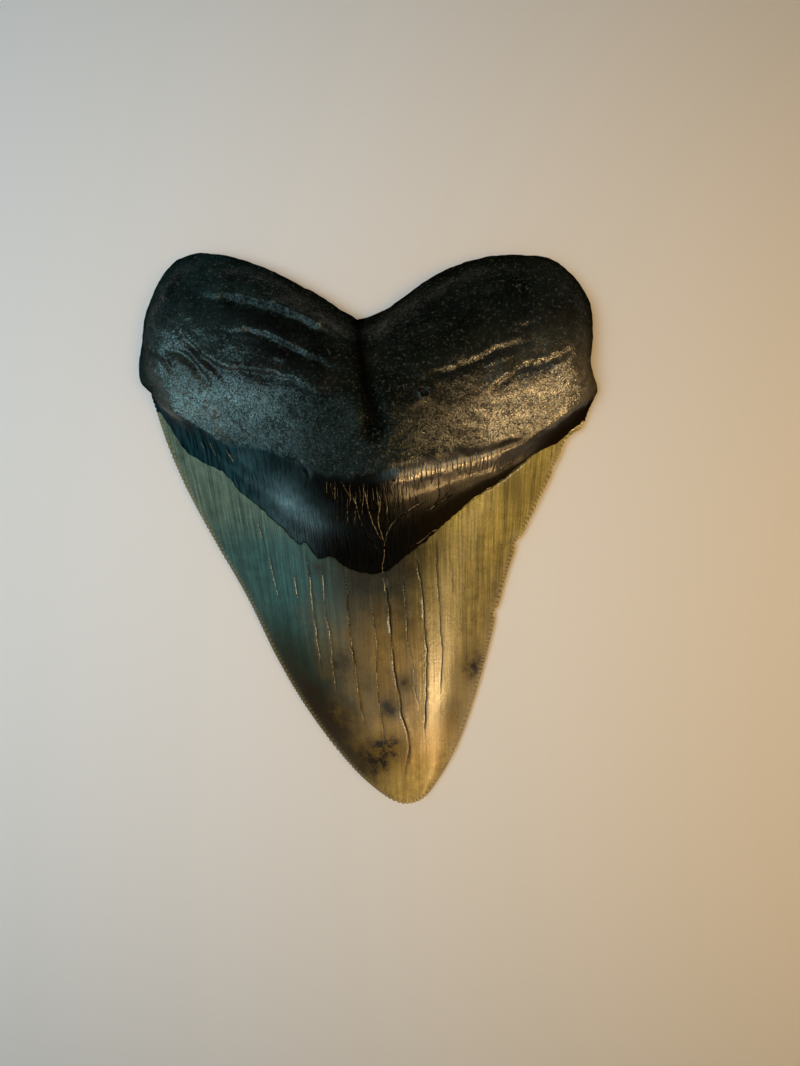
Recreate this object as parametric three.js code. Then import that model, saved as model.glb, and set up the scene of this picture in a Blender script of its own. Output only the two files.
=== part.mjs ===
// A fossil megalodon tooth, one solid piece, lying on its flat labial face.
//
// Units are millimetres and +Z is up. The origin is on the table under the middle of the tooth's box.
// +Y points from the crown's tip to the root, +X to the right when the lingual face is seen from above.
// The lingual face, with the swollen root, the dark chevron band and the domed crown, is the upper one.
import * as THREE from "three";

// Driving dimensions
const ROOT_RIM_HEIGHT = 8.5; // middle of the root's rounded rim, above the table
const ROOT_RIM_RADIUS = 7.5; // how far the rim's rounding reaches in over the upper face
const ROOT_SOLE_RADIUS = 7; // the same on the lower face
const LOBE_HEIGHT = 11.5; // root lobes where they meet the rim's rounding
const LOBE_SWELL = 8; // extra height in the middle of each lobe
const BOSS_HEIGHT = 14; // lingual boss, above the lobes
const CROWN_SWELL = 14; // lingual dome of the crown over its cutting edges, where it is widest
const CROWN_SWELL_WIDTH = 38; // how soon the dome rises as the crown widens from the tip
const CREST_LEAN = 0.14; // the dome's crest moves this share of the half width to the right near the tip
const EDGE_HEIGHT_AT_TIP = 3;
const EDGE_HEIGHT_AT_ROOT = 5.2;
const BAND_HOLLOW = 0.8; // the chevron band lies this much under the dome
const NOTCH_VALLEY = 5; // saddle between the two lobes
const GROOVE_DEPTH = 2.2; // nutrient groove in the saddle
const SOLE_ARCH = 1.5; // the labial face stands off the table at the neck
const TIP_LIFT = 1.2; // and at the tip
const SOLE_FLAT = 0.35; // how much is worn flat where the tooth rests
const SOLE_BEVEL = 12; // how far the labial face turns up along the cutting edges

// The net that covers each face: rings of squares from the middle to the rim
const NET_RINGS = 24;
const ROUND_RINGS = 5; // the outer rings, which step round the rim's quarter circle
const NET_MIDDLE = new THREE.Vector2(1.5, 12);
const EDGE_SHARE = 0.56; // share of each side's rim squares that go along the cutting edge
const CURVE_STEPS = 400;

// Corners of the outline
const TIP = [9.5, -70];
const NOTCH = [-3, 53.5];
const RIGHT_CORNER = [58, 35.5];
const LEFT_CORNER = [-55.5, 35];

const rightCuttingEdge = [
  TIP, [13.5, -68.8], [17.5, -64], [22.5, -55], [27.5, -41], [31.5, -26], [33.5, -17.5],
  [36.5, -7], [41, 3], [48, 17.5], [50.5, 23.5], [53.5, 25], [56, 31], RIGHT_CORNER,
];
const rightLobe = [
  RIGHT_CORNER, [56, 42], [56.5, 49.5], [55.5, 57.5], [51.5, 64.5], [45, 69],
  [36, 70], [26, 68.5], [18.5, 65.5], [10.5, 60.5], [3, 55.5], NOTCH,
];
const leftLobe = [
  NOTCH, [-9.5, 57.5], [-19.5, 63.5], [-30, 68], [-38, 70], [-44.5, 70], [-50, 67],
  [-54, 61], [-56.5, 53], [-57.5, 44], [-57.5, 38], LEFT_CORNER,
];
const leftCuttingEdge = [
  LEFT_CORNER, [-55, 33], [-52, 23.5], [-46.5, 10.5], [-39.5, -2.5], [-31, -17.5],
  [-23.5, -33], [-14, -48.5], [-3.5, -61.5], [2, -66.5], [6.5, -69.3], TIP,
];

// Heights of three lines that cross the tooth, as [x, y] from left to right
const enamelBorder = [
  [-55, 32.5], [-47, 21], [-36.5, 15], [-20.5, 0], [-11, -7], [1, -10.4],
  [9, -6.2], [22, 4.6], [38, 16.8], [53.5, 27], [57, 32.5],
];
const rootBorder = [
  [-56, 34.5], [-45.5, 27.5], [-28.5, 18.5], [-11, 12.8], [0, 11], [15, 15],
  [33.5, 20.5], [44, 25], [58, 35],
];
const soleBorder = [[-56, 33], [-30, 25], [0, 20], [30, 25], [58, 33]];
const grooveLine = [[23, 2.2], [30, 1], [37, -0.7], [45, -2], [53, -2.8]]; // as [y, x]

const smooth = THREE.MathUtils.smoothstep;
const clamp01 = (value) => THREE.MathUtils.clamp(value, 0, 1);
const bell = (distance, width) => Math.exp(-0.5 * (distance / width) ** 2);

// A function that reads a smooth line through [position, value] pairs.
function lineThrough(pairs) {
  const positions = pairs.map((pair) => pair[0]);
  const values = pairs.map((pair) => pair[1]);
  const line = new THREE.CubicInterpolant(positions, values, 1);
  return (at) => line.evaluate(at)[0];
}
const enamelAt = lineThrough(enamelBorder);
const rootAt = lineThrough(rootBorder);
const soleAt = lineThrough(soleBorder);
const grooveAt = lineThrough(grooveLine);

function splineThrough(points) {
  const corners = points.map(([x, y]) => new THREE.Vector3(x, y, 0));
  return new THREE.CatmullRomCurve3(corners, false, "centripetal");
}

// The cutting edges are one spline through the tip, so that the tip is round.
const cuttingEdges = splineThrough([...leftCuttingEdge, ...rightCuttingEdge.slice(1)]);
const edgePoints = cuttingEdges.getSpacedPoints(2 * CURVE_STEPS);
const tipIndex = edgePoints.reduce((best, p, i) => (p.y < edgePoints[best].y ? i : best), 0);
const leftEdgePoints = edgePoints.slice(0, tipIndex + 1);
const rightEdgePoints = edgePoints.slice(tipIndex);
const rightLobePoints = splineThrough(rightLobe).getSpacedPoints(CURVE_STEPS);
const leftLobePoints = splineThrough(leftLobe).getSpacedPoints(CURVE_STEPS);
const rootRimPoints = [...rightLobePoints, ...leftLobePoints];

function distanceTo(points, x, y) {
  let nearest = Infinity;
  for (const p of points) nearest = Math.min(nearest, (p.x - x) ** 2 + (p.y - y) ** 2);
  return Math.sqrt(nearest);
}

const sides = [
  { edge: rightEdgePoints, lobe: rightLobePoints },
  { edge: leftEdgePoints.toReversed(), lobe: leftLobePoints.toReversed() },
];

// The rim's point at a share of the way round, anticlockwise from the tip; the notch is at 0.5.
function rimPoint(share) {
  const { edge, lobe } = sides[share <= 0.5 ? 0 : 1];
  const along = 2 * Math.min(share, 1 - share);
  const onEdge = along <= EDGE_SHARE;
  const line = onEdge ? edge : lobe;
  const part = onEdge ? along / EDGE_SHARE : (along - EDGE_SHARE) / (1 - EDGE_SHARE);
  return line[Math.round(part * (line.length - 1))];
}

// Height of the seam where the two faces meet: low along the cutting edges, high round the root.
function seamHeight(y) {
  const edgeRise = EDGE_HEIGHT_AT_ROOT - EDGE_HEIGHT_AT_TIP;
  const edge = EDGE_HEIGHT_AT_TIP + edgeRise * smooth(y, -40, 30);
  return edge + (ROOT_RIM_HEIGHT - edge) * smooth(y, 30, 41);
}

// What both faces need to know about a place: its distances to the rim and how far up the band it is.
function placeOf(x, y) {
  const left = distanceTo(leftEdgePoints, x, y);
  const right = distanceTo(rightEdgePoints, x, y);
  const width = left + right;
  const bandDepth = Math.max(rootAt(x) - enamelAt(x), 5);
  return {
    width,
    fromEdges: width > 0 ? (left * right) / width : 0,
    rim: Math.min(left, right, distanceTo(rootRimPoints, x, y)),
    across: width > 0 ? (left - right) / width : 0,
    upBand: (y - enamelAt(x)) / bandDepth,
    seam: seamHeight(y),
  };
}

// A quarter round that rises from 0 at the rim to 1 at the radius.
const quarterRound = (rim, radius) => Math.sqrt(1 - (1 - clamp01(rim / radius)) ** 2);

function crownTop(y, place) {
  const swell = CROWN_SWELL * (1 - Math.exp(-((place.width / CROWN_SWELL_WIDTH) ** 1.35)));
  const crest = CREST_LEAN * smooth(-y, 0, 50);
  const offCrest = (place.across - crest) / (place.across > crest ? 1 - crest : 1 + crest);
  return place.seam + swell * (1 - Math.min(Math.abs(offCrest), 1) ** 2.8);
}

function rootTop(x, y, place) {
  const lobes = LOBE_SWELL * (bell(x + 36, 22) + bell(x - 42, 24)) * bell(y - 47, 14);
  const boss = BOSS_HEIGHT * bell(x - 3, 19) * bell(y - 31, y > 31 ? 16 : 24);
  const saddle = NOTCH_VALLEY * bell(x + 1.5, 8) * smooth(y, 28, 52);
  const groove = GROOVE_DEPTH * bell(x - grooveAt(y), 1.4) * smooth(y, 20, 26);
  const height = LOBE_HEIGHT + lobes + boss - saddle - groove;
  return place.seam + (height - place.seam) * quarterRound(place.rim, ROOT_RIM_RADIUS);
}

function lingualHeight(x, y, place) {
  const crown = crownTop(y, place);
  const rooted = 0.3 * smooth(place.upBand, 0.05, 0.8) + 0.7 * smooth(place.upBand, 0.62, 1.06);
  const hollow = BAND_HOLLOW * bell(place.upBand - 0.38, 0.22) * clamp01(place.rim / 12);
  return crown + (rootTop(x, y, place) - crown) * rooted - hollow;
}

function labialHeight(x, y, place) {
  const rooted = smooth(y - soleAt(x), -5, 7);
  const crown = place.seam * (1 - clamp01(place.fromEdges / SOLE_BEVEL)) ** 2.4;
  const root = place.seam * (1 - quarterRound(place.rim, ROOT_SOLE_RADIUS));
  const neck = SOLE_ARCH * bell(y - 12, 16) * (0.4 + 0.6 * bell(x, 30));
  const saddle = SOLE_ARCH * bell(x, 13) * bell(y - 38, 14);
  const lift = TIP_LIFT * smooth(-y, 42, 70);
  const inside = clamp01(place.rim / 3); // so that the seam keeps its own height
  const height = crown + (root - crown) * rooted + (neck + saddle + lift - SOLE_FLAT) * inside;
  return Math.max(height, 0);
}

// Each face is a square net of corners (i, j), from -NET_RINGS to NET_RINGS both ways. A corner's ring is
// its larger index, and the ring's corners are spread evenly round the outline.
function netPlace(i, j) {
  const ring = Math.max(Math.abs(i), Math.abs(j));
  if (ring === 0) return NET_MIDDLE.clone();
  let step;
  if (j === -ring) step = i;
  else if (i === ring) step = 2 * ring + j;
  else if (j === ring) step = 4 * ring - i;
  else step = 6 * ring - j;
  const { x, y } = rimPoint(((step + 8 * ring) % (8 * ring)) / (8 * ring));
  const rim = new THREE.Vector2(x, y);
  const length = rim.distanceTo(NET_MIDDLE);
  const flatRings = NET_RINGS - ROUND_RINGS;
  const quarter = Math.max(ring - flatRings, 0) / ROUND_RINGS;
  const inset = ROOT_RIM_RADIUS * (1 - Math.sin(0.5 * Math.PI * quarter));
  const reach = (length - inset) * Math.min(ring / flatRings, 1);
  return rim.sub(NET_MIDDLE).setLength(reach).add(NET_MIDDLE);
}

function toothGeometry() {
  const side = 2 * NET_RINGS + 1;
  const positions = [];
  const upper = new Map();
  const lower = new Map();
  for (let j = -NET_RINGS; j <= NET_RINGS; j++) {
    for (let i = -NET_RINGS; i <= NET_RINGS; i++) {
      const key = (j + NET_RINGS) * side + i + NET_RINGS;
      const { x, y } = netPlace(i, j);
      const place = placeOf(x, y);
      const onRim = Math.max(Math.abs(i), Math.abs(j)) === NET_RINGS;
      if (onRim) {
        upper.set(key, positions.length / 3);
        lower.set(key, positions.length / 3);
        positions.push(x, y, place.seam);
      } else {
        upper.set(key, positions.length / 3);
        positions.push(x, y, lingualHeight(x, y, place));
        lower.set(key, positions.length / 3);
        positions.push(x, y, labialHeight(x, y, place));
      }
    }
  }
  const triangles = [];
  for (let j = 0; j < side - 1; j++) {
    for (let i = 0; i < side - 1; i++) {
      const a = j * side + i;
      const [b, c, d] = [a + 1, a + side + 1, a + side];
      const falling = i < NET_RINGS === j < NET_RINGS; // cut each square across its ring, never along it
      const faces = falling ? [[a, b, c], [a, c, d]] : [[a, b, d], [b, c, d]];
      for (const [p, q, r] of faces) {
        triangles.push(upper.get(p), upper.get(q), upper.get(r));
        triangles.push(lower.get(r), lower.get(q), lower.get(p));
      }
    }
  }
  const geometry = new THREE.BufferGeometry();
  geometry.setAttribute("position", new THREE.Float32BufferAttribute(positions, 3));
  geometry.setIndex(triangles);
  geometry.computeBoundingBox();
  const middle = geometry.boundingBox.getCenter(new THREE.Vector3());
  geometry.translate(-middle.x, -middle.y, -geometry.boundingBox.min.z);
  geometry.computeVertexNormals();
  return geometry;
}

const fossil = new THREE.MeshStandardMaterial({ color: 0x4a463a, roughness: 0.45, metalness: 0 });
const tooth = new THREE.Mesh(toothGeometry(), fossil);
tooth.name = "megalodon_tooth";

const part = new THREE.Group();
part.name = "fossil_tooth";
part.add(tooth);
export default part;
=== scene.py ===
# %% [markdown]
# # A fossil megalodon tooth
#
# This lesson finishes one object, a fossil shark tooth about as long as a hand. The real tooth grew as one
# piece: a forked root of porous dentine, a triangular crown with a coat of glassy enameloid and saw teeth
# along both cutting edges, and between them a dark chevron band, the bourlette, where the coat was too thin
# to last. Minerals in the sediment then turned it to stone and stained it. So this scene has one piece too,
# and the work is in its relief and its finishes.
#
# The imported CAD model is the fixed frame. Everything below is placed in it, in metres, and the tooth is
# centred on its box.

# %% Load the frame
import math

import bpy
import numpy as np
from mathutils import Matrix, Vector, geometry, kdtree, noise


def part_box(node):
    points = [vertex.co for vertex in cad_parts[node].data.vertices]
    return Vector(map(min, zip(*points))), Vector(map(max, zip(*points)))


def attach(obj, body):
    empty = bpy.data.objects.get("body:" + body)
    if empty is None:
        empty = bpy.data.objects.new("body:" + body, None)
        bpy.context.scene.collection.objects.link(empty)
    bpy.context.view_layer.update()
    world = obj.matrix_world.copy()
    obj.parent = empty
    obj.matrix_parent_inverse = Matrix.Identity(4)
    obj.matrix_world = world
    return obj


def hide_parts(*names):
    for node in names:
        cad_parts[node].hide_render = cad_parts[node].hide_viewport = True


MM = 0.001  # metres in a millimetre
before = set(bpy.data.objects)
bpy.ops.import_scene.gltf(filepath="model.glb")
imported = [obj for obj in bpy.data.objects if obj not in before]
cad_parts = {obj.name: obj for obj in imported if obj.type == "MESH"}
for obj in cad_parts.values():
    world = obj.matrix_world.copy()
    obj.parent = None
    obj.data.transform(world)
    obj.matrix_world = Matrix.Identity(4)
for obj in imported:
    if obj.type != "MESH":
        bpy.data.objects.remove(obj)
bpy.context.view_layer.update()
box_low, box_high = (np.array(corner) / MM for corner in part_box("megalodon_tooth"))
print("CAD box of the tooth, in mm:", (box_high - box_low).round(1))

# %% [markdown]
# ## The outline
#
# Seen from above, the tooth is a heart: two root lobes with a notch between them, and a crown that tapers to
# a tip leaning a little to one side. It could be sculpted freely, but then it would drift from the CAD solid,
# which MuJoCo collides with. So the same few corner points are used here, joined by the same smooth curve, a
# centripetal Catmull-Rom spline: it passes through every point and never overshoots into a loop.

# %% Draw the outline in millimetres
TIP = (9.5, -70)
NOTCH = (-3, 53.5)
RIGHT_CORNER = (58, 35.5)
LEFT_CORNER = (-55.5, 35)
LEFT_CUTTING_EDGE = [
    LEFT_CORNER, (-55, 33), (-52, 23.5), (-46.5, 10.5), (-39.5, -2.5), (-31, -17.5),
    (-23.5, -33), (-14, -48.5), (-3.5, -61.5), (2, -66.5), (6.5, -69.3), TIP,
]
RIGHT_CUTTING_EDGE = [
    TIP, (13.5, -68.8), (17.5, -64), (22.5, -55), (27.5, -41), (31.5, -26), (33.5, -17.5),
    (36.5, -7), (41, 3), (48, 17.5), (50.5, 23.5), (53.5, 25), (56, 31), RIGHT_CORNER,
]
RIGHT_LOBE = [
    RIGHT_CORNER, (56, 42), (56.5, 49.5), (55.5, 57.5), (51.5, 64.5), (45, 69),
    (36, 70), (26, 68.5), (18.5, 65.5), (10.5, 60.5), (3, 55.5), NOTCH,
]
LEFT_LOBE = [
    NOTCH, (-9.5, 57.5), (-19.5, 63.5), (-30, 68), (-38, 70), (-44.5, 70), (-50, 67),
    (-54, 61), (-56.5, 53), (-57.5, 44), (-57.5, 38), LEFT_CORNER,
]
EDGE_SPACING = 0.22  # fine enough for four or five points on each saw tooth
ROOT_SPACING = 0.5


def smooth_line(corners, steps=40):
    """A centripetal Catmull-Rom spline through the corners, with this many steps between each two."""
    p = np.array(corners, float)
    p = np.vstack([2 * p[0] - p[1], p, 2 * p[-1] - p[-2]])
    knots = np.concatenate([[0], np.cumsum(np.sqrt(np.linalg.norm(np.diff(p, axis=0), axis=1)))])
    pieces = []
    for i in range(1, len(p) - 2):
        t0, t1, t2, t3 = knots[i - 1 : i + 3]
        t = np.linspace(t1, t2, steps, endpoint=False)[:, None]
        a1 = ((t1 - t) * p[i - 1] + (t - t0) * p[i]) / (t1 - t0)
        a2 = ((t2 - t) * p[i] + (t - t1) * p[i + 1]) / (t2 - t1)
        a3 = ((t3 - t) * p[i + 1] + (t - t2) * p[i + 2]) / (t3 - t2)
        b1 = ((t2 - t) * a1 + (t - t0) * a2) / (t2 - t0)
        b2 = ((t3 - t) * a2 + (t - t1) * a3) / (t3 - t1)
        pieces.append(((t2 - t) * b1 + (t - t1) * b2) / (t2 - t1))
    return np.vstack(pieces + [p[-2]])


def spaced(line, spacing):
    """The same line as points at an even distance along it."""
    along = np.concatenate([[0], np.cumsum(np.linalg.norm(np.diff(line, axis=0), axis=1))])
    at = np.linspace(0, along[-1], max(round(along[-1] / spacing), 1) + 1)
    return np.stack([np.interp(at, along, line[:, k]) for k in (0, 1)], 1)


cutting_edges = spaced(smooth_line(LEFT_CUTTING_EDGE + RIGHT_CUTTING_EDGE[1:]), EDGE_SPACING)
lowest = cutting_edges[:, 1].argmin()
left_edge = cutting_edges[: lowest + 1]
right_edge = cutting_edges[lowest:]
root_rim = np.vstack([
    spaced(smooth_line(RIGHT_LOBE), ROOT_SPACING),
    spaced(smooth_line(LEFT_LOBE), ROOT_SPACING)[1:],
])
outline = np.vstack([cutting_edges[:-1], root_rim[:-1]])  # anticlockwise, from the left corner
root_share = len(root_rim) - 1
shift = (box_low + box_high)[:2] / 2 - (outline.min(0) + outline.max(0)) / 2
print(len(outline), "points round the outline;", "moved by", shift.round(2), "mm into the frame")

# %% [markdown]
# ## The relief
#
# The height of each face is a formula in the place on the tooth, the same one that the CAD solid has. A
# formula beats sculpting here because it can be read at any point, so the net of points can be made dense
# where the detail is. What a formula needs to know is how far a point is from each cutting edge and from the
# root's rim, and how far up the chevron band it lies.

# %% Describe both faces
ROOT_RIM_HEIGHT = 8.5
ROOT_RIM_RADIUS = 7.5
ROOT_SOLE_RADIUS = 7
LOBE_HEIGHT = 11.5
LOBE_SWELL = 8
BOSS_HEIGHT = 14
CROWN_SWELL = 14
CROWN_SWELL_WIDTH = 38
CREST_LEAN = 0.14
EDGE_HEIGHT_AT_TIP = 3
EDGE_HEIGHT_AT_ROOT = 5.2
BAND_HOLLOW = 0.8
NOTCH_VALLEY = 5
GROOVE_DEPTH = 2.2
SOLE_ARCH = 1.5
TIP_LIFT = 1.2
SOLE_FLAT = 0.35
SOLE_BEVEL = 12

# Each line runs from the left corner to the right one
BAND_FOOT = smooth_line([
    (-57, 34), (-47, 21), (-36.5, 15), (-20.5, 0), (-11, -7), (1, -10.4), (9, -6.2), (22, 4.6),
    (38, 16.8), (53.5, 27), (58, 33.5),
])
BAND_TOP = smooth_line([
    (-57, 35.5), (-45.5, 27.5), (-28.5, 18.5), (-11, 12.8), (0, 11), (15, 15), (33.5, 20.5), (44, 25),
    (58, 35),
])
ROOT_FOOT = smooth_line([
    (-57, 34), (-47, 28.5), (-41, 25), (-36.5, 22), (-27.5, 20.8), (-18.5, 17.6), (-9, 13.8), (1.5, 13.8),
    (5, 15.6), (12, 17.6), (22.5, 20.2), (29.5, 21.6), (35, 23.2), (43, 25), (50, 29.5), (58, 35),
])
ENAMEL_BORDER = smooth_line([
    (-57, 34), (-51.5, 28), (-47, 21), (-41, 17), (-36.5, 15), (-32, 10), (-26.5, 5.5), (-20.5, 0),
    (-17, -3), (-15.5, -2.5), (-12.5, -6.5), (-9, -6.2), (-5.5, -8.7), (1, -10.4), (5, -9.5), (9, -6.2),
    (14, -2.5), (17.5, 0.7), (22, 4.6), (26.5, 8.6), (33, 12.7), (38, 16.8), (43, 20.4), (48.5, 23),
    (53.5, 27), (58, 33.5),
])
LABIAL_BORDER = smooth_line([
    (-57, 33), (-50, 30), (-40, 27.5), (-28, 25), (-14, 22.5), (0, 21), (14, 22), (28, 25), (42, 28),
    (52, 30.5), (58, 33),
])
SOLE_BORDER = smooth_line([(-57, 33), (-30, 25), (0, 20), (30, 25), (58, 33)])
GROOVE_LINE = smooth_line([(2.2, 23), (1, 30), (-0.7, 37), (-2, 45), (-2.8, 53)])


def smooth(value, start, end):
    t = np.clip((value - start) / (end - start), 0, 1)
    return t * t * (3 - 2 * t)


def bell(distance, width):
    return np.exp(-0.5 * (distance / width) ** 2)


def line_at(line, value, axis=0):
    """Reads a line that runs one way only: its y at an x, or its x at a y."""
    order = np.argsort(line[:, axis], kind="stable")
    return np.interp(value, line[order, axis], line[order, 1 - axis])


def nearest(points, line):
    """Each point's distance to a line, and the index of the line's nearest point."""
    blocks = np.array_split(points, len(points) // 1500 + 1)
    index = np.concatenate([((line - b[:, None]) ** 2).sum(2).argmin(1) for b in blocks])
    distance = np.linalg.norm(points - line[index], axis=1)
    for step in (-1, 1):
        start = line[index]
        way = line[np.clip(index + step, 0, len(line) - 1)] - start
        length = np.maximum((way**2).sum(1), 1e-12)
        share = np.clip(((points - start) * way).sum(1) / length, 0, 1)
        distance = np.minimum(distance, np.linalg.norm(points - start - share[:, None] * way, axis=1))
    return distance, index


def place_of(points):
    """What the formulas need to know about places on the tooth, in millimetres."""
    x, y = points.T
    left, left_index = nearest(points, left_edge)
    right, right_index = nearest(points, right_edge)
    rim, _ = nearest(points, root_rim)
    width = np.maximum(left + right, 1e-6)
    foot = line_at(BAND_FOOT, x)
    edge_height = EDGE_HEIGHT_AT_TIP + (EDGE_HEIGHT_AT_ROOT - EDGE_HEIGHT_AT_TIP) * smooth(y, -40, 30)
    on_left = left < right
    return {
        "x": x,
        "y": y,
        "width": width,
        "from_edges": left * right / width,
        "across": (left - right) / width,
        "edge": np.minimum(left, right),
        "edge_index": np.where(on_left, left_index, right_index + lowest),
        "root_rim": rim,
        "rim": np.minimum(np.minimum(left, right), rim),
        "up_band": (y - foot) / np.maximum(line_at(BAND_TOP, x) - foot, 5),
        "seam": edge_height + (ROOT_RIM_HEIGHT - edge_height) * smooth(y, 30, 41),
    }


# The centres and widths of the swellings below are those of the CAD solid, in millimetres.
def quarter_round(rim, radius):
    return np.sqrt(1 - (1 - np.clip(rim / radius, 0, 1)) ** 2)


def lingual_height(at):
    """The upper face: a domed crown that runs up through the band into the swollen root."""
    x, y = at["x"], at["y"]
    swell = CROWN_SWELL * (1 - np.exp(-((at["width"] / CROWN_SWELL_WIDTH) ** 1.35)))
    crest = CREST_LEAN * smooth(-y, 0, 50)
    off_crest = (at["across"] - crest) / np.where(at["across"] > crest, 1 - crest, 1 + crest)
    crown = at["seam"] + swell * (1 - np.minimum(np.abs(off_crest), 1) ** 2.8)
    lobes = LOBE_SWELL * (bell(x + 36, 22) + bell(x - 42, 24)) * bell(y - 47, 14)
    boss = BOSS_HEIGHT * bell(x - 3, 19) * bell(y - 31, np.where(y > 31, 16, 24))
    saddle = NOTCH_VALLEY * bell(x + 1.5, 8) * smooth(y, 28, 52)
    groove = GROOVE_DEPTH * bell(x - line_at(GROOVE_LINE, y, 1), 1.4) * smooth(y, 20, 26)
    root = LOBE_HEIGHT + lobes + boss - saddle - groove
    root = at["seam"] + (root - at["seam"]) * quarter_round(at["rim"], ROOT_RIM_RADIUS)
    rooted = 0.3 * smooth(at["up_band"], 0.05, 0.8) + 0.7 * smooth(at["up_band"], 0.62, 1.06)
    hollow = BAND_HOLLOW * bell(at["up_band"] - 0.38, 0.22) * np.clip(at["rim"] / 12, 0, 1)
    return crown + (root - crown) * rooted - hollow


def labial_height(at):
    """The lower face: nearly flat, turned up along the cutting edges and worn flat where it rests."""
    x, y = at["x"], at["y"]
    rooted = smooth(y - line_at(SOLE_BORDER, x), -5, 7)
    crown = at["seam"] * (1 - np.clip(at["from_edges"] / SOLE_BEVEL, 0, 1)) ** 2.4
    root = at["seam"] * (1 - quarter_round(at["rim"], ROOT_SOLE_RADIUS))
    neck = SOLE_ARCH * bell(y - 12, 16) * (0.4 + 0.6 * bell(x, 30))
    saddle = SOLE_ARCH * bell(x, 13) * bell(y - 38, 14)
    lift = TIP_LIFT * smooth(-y, 42, 70)
    inside = np.clip(at["rim"] / 3, 0, 1)
    height = crown + (root - crown) * rooted + (neck + saddle + lift - SOLE_FLAT) * inside
    return np.maximum(height, 0)


middle = place_of(np.array([[2.0, 20.0], [5.0, -20.0]]))
thickness = lingual_height(middle) - labial_height(middle)
print("Thickness at the boss and in mid-crown, in mm:", thickness.round(1))

# %% [markdown]
# ## Cracks
#
# Fossil teeth crack as they dry and as their minerals settle. In the crown the cracks run with the growth
# lines, from the neck towards the tip. In the band they fork and hang down in a fine bleached fringe. They
# could be painted, but a real groove catches the light on one wall and loses it on the other, which is what
# the eye reads as a crack. So each one here is a line of points with a width and a depth in millimetres, and
# the net of triangles will follow it. Paleness says how bleached its walls are, against filled with dirt. One
# lip is also painted pale as a highlight and, on the crown, the other is painted dark as shade.

# %% List the cracks
RNG = np.random.default_rng(20)  # one seeded source of chance for the whole piece
CRACK_SPACING = 0.35  # between the points of a crack
CRACK_WIDTH_SHARE = 0.8  # of the widths listed here, which count the broken walls too
CRACK_DEPTH_SHARE = 1.3
DRYING_CRACK = (0.25, 0.14)  # width and depth

CROWN_CRACKS = [  # points, width, depth, paleness
    ([(-15.5, -4), (-14.5, -11), (-14, -17.5), (-13, -25.5), (-12, -34.5)], 0.45, 0.25, 0.8),
    ([(-11.5, -8), (-11, -15.5), (-10.5, -21), (-9.5, -27), (-9, -33), (-8, -41.5)], 0.4, 0.22, 0.75),
    (
        [(-5.5, -9.5), (-5, -18), (-4.5, -26), (-3.5, -32), (-2.5, -41), (-1.5, -46.5), (-0.5, -50)],
        0.5, 0.35, 0.6,
    ),
    ([(0.5, -15.5), (1.5, -23.5), (2, -29.5), (2, -35), (2.5, -42), (3.5, -48.5), (4, -56)], 0.45, 0.3, 0.6),
    (
        [(4.5, -12), (5, -17), (5.5, -23.5), (6, -28.5), (7, -37), (8, -42), (8.5, -46.5),
         (9.7, -50.5), (10.2, -55), (9.5, -59), (9, -62), (8, -64.5)],
        0.7, 0.6, 0.15,
    ),
    (
        [(8.5, -10), (9, -15.5), (9.5, -21.5), (10, -28.5), (11.2, -33), (11.5, -38), (12.5, -44.5)],
        0.35, 0.2, 0.3,
    ),
    (
        [(11.5, -5), (12.5, -9.5), (13.5, -15.5), (14, -23.5), (14.5, -29.5), (14.5, -37.5), (14, -51.5)],
        0.55, 0.45, 0.1,
    ),
    ([(17, -1), (17, -9.5), (17.5, -15.5), (18, -24.5), (18.4, -28), (18, -40.5)], 0.42, 0.3, 0.3),
    ([(20.5, -6.5), (21, -15.5)], 0.35, 0.15, 0.4),
    ([(-27.5, 2.5), (-26.5, -2.5)], 0.3, 0.12, 0.7),
    ([(-25, -5.5), (-24, -10.5), (-22.5, -17)], 0.35, 0.15, 0.7),
    ([(-18.5, -10.5), (-17.5, -17)], 0.35, 0.15, 0.6),
    ([(22, 4.4), (26.5, 8.4), (33, 12.5), (38, 16.6), (41.5, 19)], 0.45, 0.35, 0),
]
BAND_CRACKS = [
    ([(2, 12), (3, 7.5), (2.5, 2.5), (4, -3.5), (3.5, -10), (4.5, -17)], 0.5, 0.25, 1),
    ([(-1, 11), (0, 6), (1, 2.5), (3.7, -3)], 0.4, 0.2, 0.8),
    ([(4, -4), (5, 0), (7, 3), (10.5, 5.5), (14, 7.5)], 0.45, 0.2, 0.9),
    ([(5.5, 11.5), (6.5, 7.5), (6.5, 4)], 0.35, 0.15, 0.8),
    ([(4, 12), (4.5, 8), (5, 1)], 0.35, 0.15, 0.8),
    ([(-4, 10), (-2.5, 5), (-1, 0), (1.5, -3.5), (3.5, -6)], 0.35, 0.15, 0.7),
    ([(17, 13.5), (17.5, 8.5), (15, 5)], 0.35, 0.2, 0.7),
    ([(-6.5, 12.5), (-4, 7.5)], 0.3, 0.12, 0.6),
    ([(20, 13), (19.5, 9.5), (17.5, 7.2)], 0.35, 0.15, 0.7),
    ([(15, 5), (17.5, 7), (21, 9.5)], 0.35, 0.15, 0.7),
    ([(9.5, -4.5), (13, -2.3), (16, 0.2), (18, 0.5)], 0.35, 0.12, 0.8),
    ([(-44, 25.5), (-41, 20)], 0.3, 0.12, 0.8),
    ([(-40, 22.5), (-37.5, 17)], 0.3, 0.12, 0.8),
    ([(-35.5, 20.5), (-33.5, 17)], 0.35, 0.15, 0.8),
]


def wandering(line, amount=0.13, size=1.6):
    """The line with the small side steps of a crack that goes round mineral grains."""
    way = np.gradient(line, axis=0)
    way /= np.maximum(np.linalg.norm(way, axis=1), 1e-9)[:, None]
    side = np.array([noise.noise((px / size, py / size, 3.7)) for px, py in line])
    return line + (side * amount * 2)[:, None] * way[:, ::-1] * (1, -1)


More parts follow.
